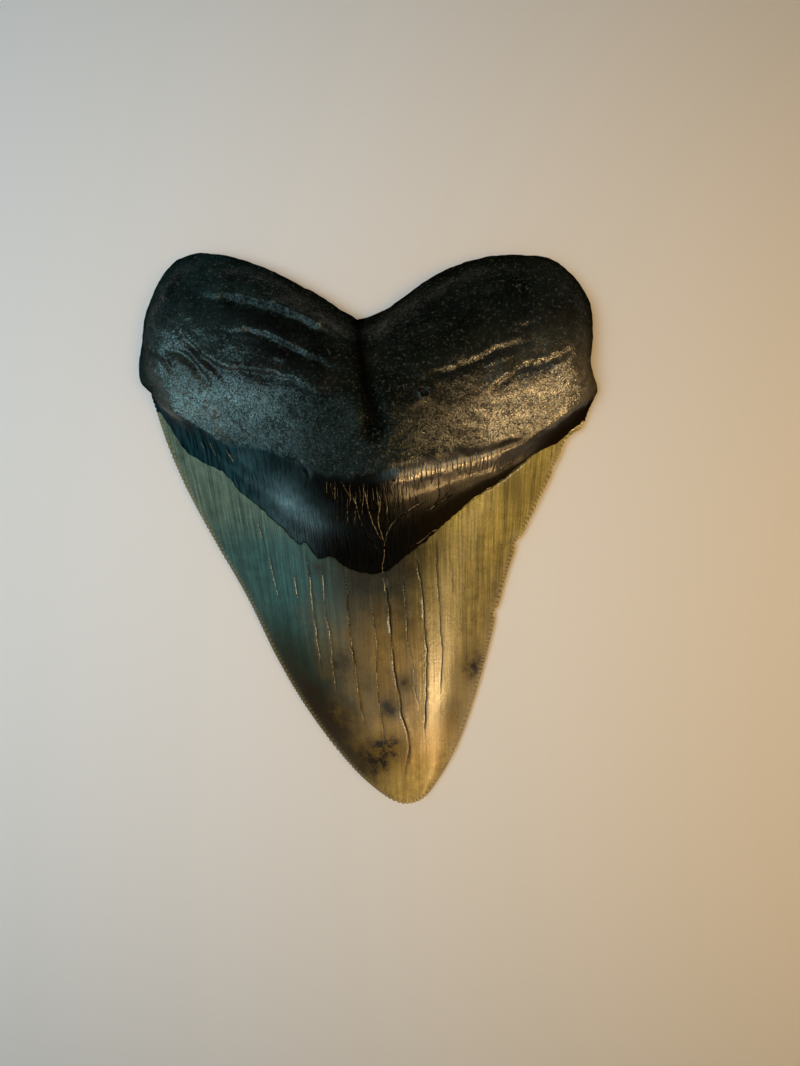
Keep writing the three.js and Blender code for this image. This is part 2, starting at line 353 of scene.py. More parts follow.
def drying_cracks():
    """Fine cracks that run down the band from the root's border, about a millimetre apart."""
    found = []
    x = -10.0
    while x < 33:
        low = line_at(BAND_FOOT, x) + 3
        top = line_at(ROOT_FOOT, x) - 1 - abs(RNG.normal(0, 1.6))
        longest = 11 if -9 < x < 14 else 5
        length = min(RNG.uniform(3, longest), max(top - low, 1))
        lean = RNG.uniform(-0.1, 0.12) * length
        points = [(x, top), (x + lean * 0.3, top - length / 2), (x + lean, top - length)]
        found.append((points, *DRYING_CRACK, RNG.uniform(0.3, 1)))
        x += RNG.uniform(0.7, 1.6)
    return found


cracks = []
for points, width, depth, paleness in CROWN_CRACKS + BAND_CRACKS + drying_cracks():
    line = wandering(spaced(smooth_line(points), CRACK_SPACING))
    cracks.append((line, CRACK_WIDTH_SHARE * width, CRACK_DEPTH_SHARE * depth, paleness))
total = sum(len(line) for line, *_ in cracks) * CRACK_SPACING
print(len(cracks), "cracks,", round(total), "mm in all")

# %% [markdown]
# ## Steps, furrows and pits of the root
#
# The root was bone-like and grew in layers. Where the layers end they make low steps that face the crown,
# and vessels and tendons left furrows and pits. This relief is up to a millimetre and a half deep, so it goes
# into the mesh itself, where it also changes the shadows and the outline. A step is a lip that sinks away
# behind and a hollow that rises again in front. A furrow is a bell-shaped trough. Both fade at their ends.
# Lips are worn smooth and hollows are painted dark as shade, so each point's share of the two is kept for
# the finishes.

# %% List the steps, furrows and pits
STEPS = [  # points from left to right, drop, reach of the hollow in front
    ([(-41, 58), (-32.5, 57.3), (-26.3, 55.9), (-19.3, 53.3), (-12.3, 49.8), (-6, 47)], 1.6, 3.4),
    ([(-34, 49.2), (-27, 48.6), (-21.4, 46.2), (-15.8, 43.5), (-8, 39.5)], 1.2, 2.6),
    ([(-46, 50), (-41, 43.9), (-36, 40.4), (-27.7, 38.9), (-18.6, 36.8), (-13.5, 34)], 1, 1.7),
    ([(14, 38), (20, 39.4), (27.5, 42.5), (32, 45), (37.5, 46.3)], 0.9, 1.8),
    ([(27.5, 39.4), (32, 41.4), (37.5, 43.2)], 0.35, 0.8),
    ([(29.4, 34.3), (33.5, 37.8), (37.8, 40.5), (43.3, 42), (50, 45)], 1.4, 1.7),
    ([(43.5, 38.3), (47, 40.4), (51, 42.8)], 0.35, 0.8),
    ([(17.5, 56), (26, 58.5), (37, 60)], 0.4, 1.2),
    ([(19, 53.3), (30, 56)], 0.3, 1),
    ([(-28.5, 21.4), (-22, 19.5), (-16.5, 17)], 0.5, 0.9),
    ([(-17.5, 17.5), (-14.8, 14), (-15.2, 10)], 0.5, 1),
]
FURROWS = [  # points, half width, depth
    ([(-44, 46), (-39.5, 41.5), (-36, 38)], 0.55, 0.7),
    ([(-48.5, 61.5), (-47, 56.5), (-45.5, 50.5)], 0.6, 0.45),
    ([(-51, 45), (-46, 43.5), (-43.5, 41.5), (-38.5, 35.5)], 0.65, 1.1),
    ([(-53.5, 44.5), (-50.5, 43), (-48, 39)], 0.6, 0.8),
    ([(50, 34.5), (54, 38)], 0.7, 0.5),
]
PITS = [  # x, y, radius, depth, height of the lip
    (13.5, 33.3, 1.2, 1.0, 0.6), (-38, 29, 0.8, 0.45, 0.2), (34, -3.5, 0.4, 0.4, 0),
    (10.5, -68.8, 1.3, 0.28, 0), (30, 38.5, 0.5, 0.3, 0.2), (52.5, 55, 0.7, 0.4, 0.1),
    (-33.5, 48, 0.7, 0.3, 0.25),
]
CHIPS = [  # x, y, radius, depth: broken out of the right cutting edge
    (53, 24.5, 1.3, 1), (37.6, -3, 0.9, 0.9), (32.2, -21, 0.8, 0.8), (47.2, 16.3, 1.2, 0.4), (52, 29, 1, 0.6),
]


def small_steps(count=34):
    """Short low steps scattered over the root. They slope like the long ones, down towards the notch."""
    found = []
    for x, y in zip(RNG.uniform(-50, 50, count), RNG.uniform(26, 62, count)):
        if abs(x) < 6:
            continue
        length = RNG.uniform(3, 8)
        slope = np.sign(x) * RNG.uniform(0.1, 0.6)
        points = [(x + k * length, y + k * length * slope + RNG.normal(0, 0.3)) for k in (-0.5, 0, 0.5)]
        found.append((points, RNG.uniform(0.15, 0.5), RNG.uniform(0.5, 1.2)))
    return found


def beside(points, corners, reach):
    """The points near a wandering line: their indices, signed distance (to its left is positive) and fade."""
    line = wandering(spaced(smooth_line(corners), 0.4), 0.25, 2.2)
    near = np.flatnonzero((np.abs(points - line.mean(0)) < np.ptp(line, axis=0) / 2 + reach).all(1))
    distance, index = nearest(points[near], line)
    way, off = np.gradient(line, axis=0)[index], points[near] - line[index]
    side = np.sign(way[:, 0] * off[:, 1] - way[:, 1] * off[:, 0])
    return near, side * distance, np.sin(np.pi * np.clip(index / (len(line) - 1), 0.01, 0.99)) ** 0.5


def root_relief(points):
    """The height that steps, furrows and pits add at each point, and how near it is to a lip and a hollow."""
    height, lip_share, hollow_share = np.zeros((3, len(points)))
    for corners, drop, reach in STEPS + small_steps():
        near, off, fade = beside(points, corners, 5 * reach)
        sinking = np.exp(-np.abs(off) / np.where(off > 0, 0.5, 1) / reach)
        height[near] += drop * fade * np.tanh(off / 0.4) * sinking
        share = np.minimum(drop, 1) * fade
        lip_share[near] = np.maximum(lip_share[near], share * bell(off - 0.2, 0.5))
        in_hollow = share * bell(off + 1.1 * reach, 0.7 * reach)
        hollow_share[near] = np.maximum(hollow_share[near], in_hollow)
    for corners, width, depth in FURROWS:
        near, off, fade = beside(points, corners, 4 * width)
        height[near] -= depth * fade * bell(off, width)
    for x, y, radius, depth, lip in PITS:
        distance = np.hypot(points[:, 0] - x, points[:, 1] - y) / radius
        height += lip * bell(distance - 1.1, 0.3) - depth * smooth(1 - distance, 0, 0.6)
        lip_share = np.maximum(lip_share, min(2 * lip, 1) * bell(distance - 1.1, 0.3))
    broken = [noise.fractal((x, y, 7.7), 0.8, 2.0, 3) for x, y in (points / 2.5).tolist()]
    return height, lip_share * np.clip(0.6 + 1.1 * np.array(broken), 0.1, 1.2), hollow_share


print(len(STEPS), "long steps,", len(FURROWS), "furrows,", len(PITS), "pits,", len(CHIPS), "chips")

# %% [markdown]
# ## The net of points
#
# A remesh at one size would need millions of triangles to hold a crack a third of a millimetre wide. Instead
# the points are placed where they are needed, and a constrained Delaunay triangulation joins them.
# Rows follow the outline, close together where the rim is steep. Seven rows follow each crack. The rest is an
# even honeycomb. The triangulation is told to keep the outline, the cracks and the enamel's border as edges,
# so each of these stays a clean line.

# %% Place the points
LINGUAL_SPACING = 0.62
LABIAL_SPACING = 0.95
EDGE_ROWS = (0.16, 0.38, 0.68, 1.05)
ROOT_ROW_ANGLES = np.radians(np.arange(4, 38, 4.2))  # steps round the rim's quarter circle
BORDER_ROWS = (-0.34, -0.12, 0.12, 0.34)


def inward(line):
    """Unit vectors to the left of a line's direction, which is inward on the anticlockwise outline."""
    way = np.roll(line, -1, 0) - np.roll(line, 1, 0)
    way /= np.linalg.norm(way, axis=1)[:, None]
    return np.stack([-way[:, 1], way[:, 0]], 1)


outline_inward = inward(outline)
on_edge = np.arange(len(outline)) < len(outline) - root_share


def border_line(border):
    """The enamel's border as a line of points inside the outline, with the fine wobble of the real one."""
    line = wandering(spaced(border, 0.4), 0.16, 1.3)
    at = place_of(line)
    inside = inside_outline(line) & (at["rim"] > 0.5)
    first, last = np.flatnonzero(inside)[[0, -1]]
    return line[first : last + 1]


def inside_outline(points):
    """Whether each point is inside the outline, by counting the sides that a ray to the right crosses."""
    x, y = points.T
    odd = np.zeros(len(points), bool)
    for (ax, ay), (bx, by) in zip(outline, np.roll(outline, -1, 0)):
        crosses = (ay > y) != (by > y)
        if crosses.any():
            odd[crosses] ^= x[crosses] < ax + (y[crosses] - ay) * (bx - ax) / (by - ay)
    return odd


def thinned(points, taken, spacing):
    """The points that are at least that far from the ones already taken."""
    tree = kdtree.KDTree(len(taken))
    for i, (px, py) in enumerate(taken):
        tree.insert((px, py, 0), i)
    tree.balance()
    far = [tree.find((px, py, 0))[2] >= spacing for px, py in points]
    return points[np.array(far, bool)]


def rim_rows():
    """Rows of points inside the outline, left out where another part of the outline is nearer."""
    rows = []
    root_rows = ROOT_RIM_RADIUS * (1 - np.cos(ROOT_ROW_ANGLES))
    for steps, mask in ((EDGE_ROWS, on_edge), (root_rows, ~on_edge)):
        for step in steps:
            row = outline[mask] + step * outline_inward[mask]
            distance, _ = nearest(row, outline)
            rows.append(row[distance > 0.97 * step])
    return np.vstack(rows)


def honeycomb(spacing):
    low, high = outline.min(0), outline.max(0)
    rows = np.arange(low[1], high[1], spacing * math.sqrt(0.75))
    points = [
        (x, y)
        for k, y in enumerate(rows)
        for x in np.arange(low[0] + (k % 2) * spacing / 2, high[0], spacing)
    ]
    return np.array(points)


def turns(loops):
    """Twice the signed area of each loop of points: positive when it runs anticlockwise."""
    x, y = loops[..., 0], loops[..., 1]
    return (x * np.roll(y, -1, axis=1) - y * np.roll(x, -1, axis=1)).sum(1)


def net(features, spacing):
    """Triangles over the outline that keep each feature line: (points, triangles, outline's indices)."""
    lines, sides = [], []
    for line, offsets in features:
        normal = inward(line)
        normal[[0, -1]] = normal[[1, -2]]
        lines.append(line)
        sides += [line + offset * normal for offset in offsets]
    keep = np.vstack(lines)
    flanks = np.vstack(sides)
    flanks = thinned(flanks[inside_outline(flanks)], np.vstack([outline, keep]), 0.07)
    taken = np.vstack([outline, keep, flanks, thinned(rim_rows(), keep, 0.15)])
    comb = honeycomb(spacing)
    comb = comb[inside_outline(comb)]
    comb = thinned(comb, taken, 0.62 * spacing)
    points = np.vstack([taken, comb])
    count = len(outline)
    edges = [(i, (i + 1) % count) for i in range(count)]
    start = count
    for line in lines:
        edges += [(i, i + 1) for i in range(start, start + len(line) - 1)]
        start += len(line)
    vectors = [Vector(p) for p in points]
    made, _, faces, origins, *_ = geometry.delaunay_2d_cdt(vectors, edges, [], 0, 1e-4, True)
    made, faces = np.array([tuple(p) for p in made]), np.array(faces)
    ring = np.full(count, -1)
    for new, old in enumerate(origins):
        for i in old:
            if i < count:
                ring[i] = new
    # The triangulation fills the outline's hollows too. Only triangles between rim points can lie there, and
    # their corners, taken in the outline's order, turn the other way round from the outline itself.
    order = np.full(len(made), -1)
    order[ring] = np.arange(count)
    spanning = np.flatnonzero((order[faces] >= 0).all(1))
    corners = made[np.take_along_axis(faces[spanning], order[faces[spanning]].argsort(1), 1)]
    outside = spanning[turns(corners) * turns(outline[None]) < 0]
    return made, np.delete(faces, outside, axis=0), ring


def crack_rows(width):
    return [s * width for s in (-0.8, -0.5, -0.25, 0.25, 0.5, 0.8)]


enamel_line = border_line(ENAMEL_BORDER)
labial_line = border_line(LABIAL_BORDER)
lingual_features = [(enamel_line, BORDER_ROWS)]
for line, width, _, _ in cracks:
    inner = line[inside_outline(line)]
    lingual_features.append((inner, crack_rows(width)))
upper_points, upper_faces, upper_ring = net(lingual_features, LINGUAL_SPACING)
lower_points, lower_faces, lower_ring = net([(labial_line, BORDER_ROWS)], LABIAL_SPACING)
print("Lingual face:", len(upper_faces), "triangles; labial face:", len(lower_faces))

# %% [markdown]
# ## Lifting the net into a tooth
#
# Both nets are lifted to their formula's height and sewn together along the outline. Fine relief is then
# added along each point's own normal, so that the steep rim gets as much of it as the flat parts: cracks and
# furrows, lumps a few millimetres across on the root, and the saw teeth of the cutting edges. A large tooth
# has about ten serrations in each centimetre. They are pushed out along the outline, with a small groove
# running in between each two. The dark and pale shares of each crack are noted on the way, for the finishes,
# with a painted highlight along one lip and, on the crown, painted shade along the other. The hollows in
# front of the root's steps get painted shade too.

# %% Lift, sew and roughen
SERRATION_PITCH = 1.05
SERRATION_HEIGHT = 0.42
SERRATION_REACH = 0.5  # how fast a saw tooth fades inwards
SERRATION_GROOVE = 0.22
ENAMEL_STEP = 0.2  # how far the coat stands over the bare band
BAND_FOLD = 0.7  # a low swelling along the right arm of the band
LUMP_HEIGHT = 0.36
PEBBLE_HEIGHT = 0.13
GRAIN_HEIGHT = 0.03
CROWN_WAVE_HEIGHT = 0.06
CRACK_LIP_SHARE = 0.22  # a crack's raised lips, as a share of its depth
ENDS_FADE = 8  # cracks fade over the first and last eighth of their length
# How dark the step hollows are painted, as shade
SHADE_IN_HOLLOWS = 0.75


def rough(places, size, octaves=3):
    """Bumpiness between about -1 and 1, whose largest lumps are size millimetres across."""
    return np.array([noise.fractal(p, 0.8, 2.0, octaves) for p in (places / size).tolist()])


def vertex_normals(places, triangles):
    a, b, c = (places[triangles[:, k]] for k in range(3))
    flat = np.cross(b - a, c - a)
    total = np.zeros_like(places)
    for k in range(3):
        for axis in range(3):
            total[:, axis] += np.bincount(triangles[:, k], flat[:, axis], len(places))
    return total / np.maximum(np.linalg.norm(total, axis=1), 1e-12)[:, None]


upper_place = place_of(upper_points)
lower_place = place_of(lower_points)
upper_xyz = np.column_stack([upper_points, lingual_height(upper_place)])
lower_xyz = np.column_stack([lower_points, labial_height(lower_place)])
upper_xyz[upper_ring, 2] = upper_place["seam"][upper_ring]

count = len(upper_xyz)
sewn = np.arange(len(lower_xyz)) + count
sewn[lower_ring] = upper_ring
triangles = np.vstack([upper_faces, sewn[lower_faces][:, ::-1]])
places = np.vstack([upper_xyz, lower_xyz])
points = places[:, :2].copy()
at = {key: np.concatenate([upper_place[key], lower_place[key]]) for key in upper_place}
is_upper = np.arange(len(places)) < count
normals = vertex_normals(places, triangles)

above_enamel = points[:, 1] - line_at(enamel_line, points[:, 0])
above_enamel[~is_upper] = (points[:, 1] - line_at(labial_line, points[:, 0]))[~is_upper]
above_foot = points[:, 1] - line_at(ROOT_FOOT, points[:, 0]) + 0.6 * rough(places, 3, 2)
rooted = np.where(is_upper, smooth(above_foot, -0.9, 0.9), smooth(above_enamel, 0, 3))
crack_dirt_and_shade = np.zeros(len(places))
crack_bleach_and_highlight = np.zeros(len(places))
relief = np.zeros(len(places))

for line, width, depth, paleness in cracks:
    reach = np.ptp(line, axis=0) / 2 + 2 * width
    near = np.flatnonzero(is_upper & (np.abs(points - (line.min(0) + line.max(0)) / 2) < reach).all(1))
    distance, index = nearest(points[near], line)
    share = index / (len(line) - 1)
    fade = np.clip(np.minimum(share, 1 - share) * ENDS_FADE, 0.15, 1)
    flat = np.column_stack([points[near], np.zeros(len(near))])
    strength = np.clip(fade * (0.72 + 0.45 * rough(flat, 5, 2)), 0, 1)
    paleness = np.clip(paleness + 0.55 * rough(flat + (0, 0, 1), 6, 2), 0, 1)
    groove = np.clip(1.05 - distance / (0.5 * width), 0, 1)
    lip = bell(distance - 0.65 * width, 0.3 * width)
    relief[near] += strength * (CRACK_LIP_SHARE * depth * lip - depth * groove)
    way = np.gradient(line, axis=0)[index]
    off = points[near] - line[index]
    side = np.sign(off[:, 0] * way[:, 1] - off[:, 1] * way[:, 0])
    # Painted shade along one lip, on the crown only, and a painted highlight along the other
    shaded_lip = np.where(side < 0, lip, 0) * (at["up_band"][near] < 0)
    lit_lip = np.where(side > 0, lip, 0) * (1 - paleness)
    dark = strength * np.maximum(groove * (1 - paleness), 0.5 * shaded_lip)
    pale = strength * np.maximum(groove * paleness, 0.65 * lit_lip)
    crack_dirt_and_shade[near] = np.maximum(crack_dirt_and_shade[near], dark)
    crack_bleach_and_highlight[near] = np.maximum(crack_bleach_and_highlight[near], pale)

# The root's middle groove is painted dark along its line
groove_line = np.abs(points[:, 0] - line_at(GROOVE_LINE, points[:, 1], 1))
crack_dirt_and_shade = np.maximum(crack_dirt_and_shade, is_upper * bell(groove_line, 1) * smooth(points[:, 1], 24, 29))

step = 0.5 - smooth(above_enamel, -0.2, 0.2)
relief += np.where(is_upper, ENAMEL_STEP * step * smooth(at["rim"], 0.3, 2), 0)
root_height, root_lips, root_hollows = root_relief(points[is_upper])
# Painted shade in the hollows in front of the steps
hollow_shade = SHADE_IN_HOLLOWS * root_hollows * rooted[is_upper]
crack_dirt_and_shade[is_upper] = np.maximum(crack_dirt_and_shade[is_upper], hollow_shade)
relief[is_upper] += root_height
fold = bell(above_foot + 3.4, 2.2) * smooth(points[:, 0], -3, 8) * smooth(points[:, 0], 50, 36)
relief += is_upper * BAND_FOLD * fold
relief += rooted * LUMP_HEIGHT * rough(places, 7) * np.where(is_upper, 1, 0.4)
relief += rooted * PEBBLE_HEIGHT * rough(places + 20, 2.8, 3)
relief += rooted * GRAIN_HEIGHT * rough(places + 50, 1.6, 2)
relief += (1 - rooted) * CROWN_WAVE_HEIGHT * rough(places + 90, 9, 2)

serration_phase = at["edge_index"] * EDGE_SPACING / SERRATION_PITCH
serration_phase += 0.6 * np.sin(serration_phase * 0.23) + 0.3 * np.sin(serration_phase * 0.61 + 1)
tooth = np.abs(np.sin(np.pi * serration_phase)) ** 0.7
worn = np.clip(0.75 + 0.6 * np.sin(serration_phase * 0.31 + 2), 0.35, 1)
serrated = smooth(at["seam"], EDGE_HEIGHT_AT_ROOT + 2, EDGE_HEIGHT_AT_ROOT - 0.5) * (at["root_rim"] > 0.8)
near_edge = SERRATION_HEIGHT * worn * (tooth - 0.6) * np.exp(-at["edge"] / SERRATION_REACH) * serrated
outward = -outline_inward[np.where(on_edge)[0][np.minimum(at["edge_index"], on_edge.sum() - 1)]]
sideways = near_edge[:, None] * outward
along_edge = np.exp(-((at["edge"] / 0.9) ** 2)) * serrated
relief -= SERRATION_GROOVE * worn * (1 - tooth) * along_edge * (at["edge"] > 0.05)
for x, y, radius, depth in CHIPS:
    reach = np.hypot(points[:, 0] - x, points[:, 1] - y)
    sideways -= (depth * bell(reach, radius) * np.exp(-at["edge"] / 1.2))[:, None] * outward
    relief -= 0.5 * depth * bell(reach, radius * 1.6) * is_upper

on_seam = np.isin(np.arange(len(places)), upper_ring)
keep_seam = np.where(on_seam & (at["edge"] < at["root_rim"]), 0, 1)
moved = places + (relief * keep_seam)[:, None] * normals
moved[:, :2] += sideways
moved[:, 2] = np.maximum(moved[:, 2], 0.0)  # it rests on the table and doesn't sink in
moved[:, :2] += shift
print("Deepest and highest relief, in mm:", relief.min().round(2), relief.max().round(2))

# %% [markdown]
# ## What the finishes need to know
#
# A shader can't measure how far a point is from the enamel's border, but it can read a number stored on each
# vertex and blended across each triangle. So the places of the zones, the cracks and the stains go into named
# attributes. Shine says where the surface is rubbed smooth, and dull where the root's rim is worn rough.
# Growth holds coordinates that follow the crown's growth lines, which fan out from far beyond the tip.

# %% Make the mesh and its attributes
FAN_CENTRE = (24.8, -390)  # where the growth lines would meet, in millimetres
CROWN_SHINE = 0.14  # how much the surface reflects, where 0.5 is all that a clean one would
BAND_SHINE = 0.02
ROOT_SHINE = 0.055
LIP_SHINE = 0.4
SAW_LEFT_SHARE = 0.35  # the left saw teeth are more worn
STAINS = [  # x, y, radius, strength of the brown and black clouds in the enameloid
    (-6.5, -33, 3.6, 0.6), (5.3, -44.2, 2.2, 0.8), (9.2, -37.8, 1.8, 0.7), (26.5, -34, 3.5, 0.7),
    (21, -45, 4, 0.4), (-15.5, -42, 4, 0.7), (5.5, -54, 2.8, 0.7), (-6, -46, 3.5, 0.45),
    (0.5, -38, 2.4, 0.4), (-0.5, -55.8, 3.2, 0.42), (-12, -50, 5, 0.5), (10, -6.5, 5, 0.5),
    (20, -3, 4, 0.25), (36, 11, 4, 0.3), (-22, -36, 4, 0.4), (2, -60, 4, 0.5), (-4, -12, 4, 0.3),
    (-12.5, -9, 1.6, 0.6),
]
RUST = [
    (-38, 29, 1.2, 1), (-1.4, 42, 1.4, 0.35), (48, 53.5, 1.5, 0.2), (-26, 36, 4, 0.15), (-9, 36, 2, 0.2),
]
# Dust on the lower right of the root, strengthened into a painted warm glow
DUST_AND_WARM_GLOW = [(52, 32, 9, 0.55), (42, 29, 9, 0.45), (30, 26, 9, 0.25), (55, 40, 6, 0.2), (-46, 32, 8, 0.12)]
POLISH = {  # x, y, radius, strength: where each zone is rubbed smoother than the rest, or duller below 0
    "root": [
        (-44, 32, 12, 0.8), (-28, 28, 8, 0.45), (-49, 50, 8, 0.45), (49, 31, 11, 1.2), (32, 27, 8, 0.7),
        (20, 23, 6, 0.15),
    ],
    "band": [
        (9, 13.5, 2.9, 1), (15, 15, 2.9, 1.2), (22, 17, 2.9, 1.1), (29, 18.8, 2.7, 0.9), (37, 20.5, 3, 0.5),
        (-22, 7, 4, 0.4), (-19, 3, 3.5, 0.45), (-14, 0, 3, 0.4), (-32, 16, 4, 0.15),
    ],
    "crown": [
        (16, -46, 8, 0.8), (20, -28, 12, 0.2), (11, -49, 5, 0.35), (17, -34, 6, 0.4), (16, -59, 6, -0.2),
        (52, 26, 2.5, 1), (48, 18, 2, 0.6),
    ],
}


def blobs(spots):
    """How far each point is inside a list of soft round spots."""
    return sum(s * bell(np.hypot(points[:, 0] - x, points[:, 1] - y), r) for x, y, r, s in spots)


fan = points - FAN_CENTRE
across_fan = FAN_CENTRE[0] - fan[:, 0] / fan[:, 1] * FAN_CENTRE[1]
growth = np.column_stack([across_fan, points[:, 1], at["across"]])
in_groove = bell(groove_line, 2.6) * smooth(points[:, 1], 20, 26)
on_crown = above_enamel < 0
zones = {"root": rooted, "band": (1 - rooted) * ~on_crown, "crown": on_crown}
shine = np.where(on_crown, CROWN_SHINE, BAND_SHINE + (ROOT_SHINE - BAND_SHINE) * rooted)
shine[is_upper] += LIP_SHINE * root_lips
for zone, spots in POLISH.items():
    shine += 0.6 * blobs(spots) * zones[zone] * is_upper
shine *= 1 - 0.7 * np.clip(blobs(STAINS), 0, 1) * on_crown  # iron stains are matt
shine *= (1 - 0.9 * in_groove) * np.where(on_crown, 1, smooth(at["rim"], 0.5, 6))
attributes = {
    "rooted": rooted,
    "edge": at["edge"],
    "crack_dirt_and_shade": crack_dirt_and_shade,
    "crack_bleach_and_highlight": crack_bleach_and_highlight,
    "stain": blobs(STAINS),
    "rust": blobs(RUST) * is_upper,
    "dust_and_warm_glow": blobs(DUST_AND_WARM_GLOW) * is_upper * rooted,
    "shine": np.clip(shine, 0, 1),
    "dull": rooted * smooth(at["rim"], 5, 0.5),
    "saw": np.where(at["across"] < 0, SAW_LEFT_SHARE, 1) * along_edge * (2 * tooth - 1.1),
}

SHARP_ANGLE = 62  # folds sharper than this, such as broken edges, stay crisp
mesh = bpy.data.meshes.new("fossil_tooth")
used = np.unique(triangles)
renumber = np.full(len(places), -1)
renumber[used] = np.arange(len(used))
mesh.from_pydata((moved[used] * MM).tolist(), [], renumber[triangles].tolist())
for name, values in attributes.items():
    mesh.attributes.new(name, "FLOAT", "POINT").data.foreach_set("value", values[used].astype(np.float32))
lines = mesh.attributes.new("growth", "FLOAT_VECTOR", "POINT")
lines.data.foreach_set("vector", growth[used].astype(np.float32).ravel())
centre_above = above_enamel[triangles].mean(1)
mesh.polygons.foreach_set("material_index", (centre_above > 0).astype(np.int32))
mesh.shade_smooth()
mesh.set_sharp_from_angle(angle=math.radians(SHARP_ANGLE))
mesh.validate()
fossil = bpy.data.objects.new("fossil_tooth", mesh)
bpy.context.scene.collection.objects.link(fossil)
print(len(mesh.polygons), "triangles,", len(mesh.vertices), "vertices")

# %% [markdown]
# ## How a finish is built
#
# Three small tools serve both finishes. One turns an sRGB hex colour, as a colour picker gives it, into the
# linear values that a renderer works in. One adds a node, gives it its settings, fills or links its inputs,
# and returns its output, so that a finish reads as a list of what it is made of. The last starts a material
# and works out where each point is in millimetres, because all patterns are sized in millimetres.

# %% Helpers for the finishes
def linear(hex_colour):
    channels = [int(hex_colour[i : i + 2], 16) / 255 for i in (1, 3, 5)]
    return [c / 12.92 if c <= 0.04045 else ((c + 0.055) / 1.055) ** 2.4 for c in channels] + [1.0]


def add(tree, kind, inputs=None, out=None, **settings):
    """Adds a node with its settings, and fills or links its inputs by name or number. Returns its output."""
    node = tree.nodes.new("ShaderNode" + kind)
    for name, value in settings.items():
        setattr(node, name, value)
    for key, value in (inputs or {}).items():
        named = [s for s in node.inputs if s.enabled and s.name == key]
        socket = named[0] if named else node.inputs[key]
        if isinstance(value, bpy.types.NodeSocket):
            tree.links.new(value, socket)
        else:
            socket.default_value = value
    return next(s for s in node.outputs if s.enabled and out in (None, s.name))


def new_finish(name, refraction):
    """A material, its node tree, its shader, the growth coordinates, and the place in millimetres."""
    material = bpy.data.materials.new(name)
    material.use_nodes = True
    tree = material.node_tree
    shader = tree.nodes["Principled BSDF"]
    shader.inputs["IOR"].default_value = refraction
    growth = add(tree, "Attribute", attribute_name="growth", out="Vector")
    metres = add(tree, "TexCoord", out="Object")
    place = add(tree, "VectorMath", {0: metres, 1: (1 / MM, 1 / MM, 1 / MM)}, operation="MULTIPLY")
    return material, tree, shader, growth, place


print("Linear value of a mid grey, #808080:", round(linear("#808080")[0], 3))

# %% [markdown]
# ## Enameloid
#
# A shark's crown is coated in enameloid, densely packed fluorapatite crystals that grew in bundles from neck
# to tip. The animal polished it in life and the sediment kept the polish, so it is glossy, with an index of
# refraction near 1.63, but cloudy rather than clear. Minerals stained it olive and tan, with brown clouds
# where iron gathered. Its colour also holds painted light: the blue grey on the left side is a painted cool
# reflection, and the right side and the middle grow brighter towards the tip partly as painted warm light.
# Fine growth lines about half a millimetre apart run down it, in groups of three or four. They are noise
# stretched along the growth coordinates, because a tiled texture would repeat and couldn't fan out.

# %% Make the enameloid
ENAMELOID_REFRACTION = 1.63
GROWTH_LINE = 0.5  # this and the next five are sizes in millimetres
GROWTH_GROUP = 1.7
CLOUD = 11
MOTTLE = 2.6
SPECK = 0.45
GRAIN = 0.8
LINE_STRETCH = 0.03  # lines are some thirty times longer than they are wide
ENAMELOID_BUMP = 0.14 * MM


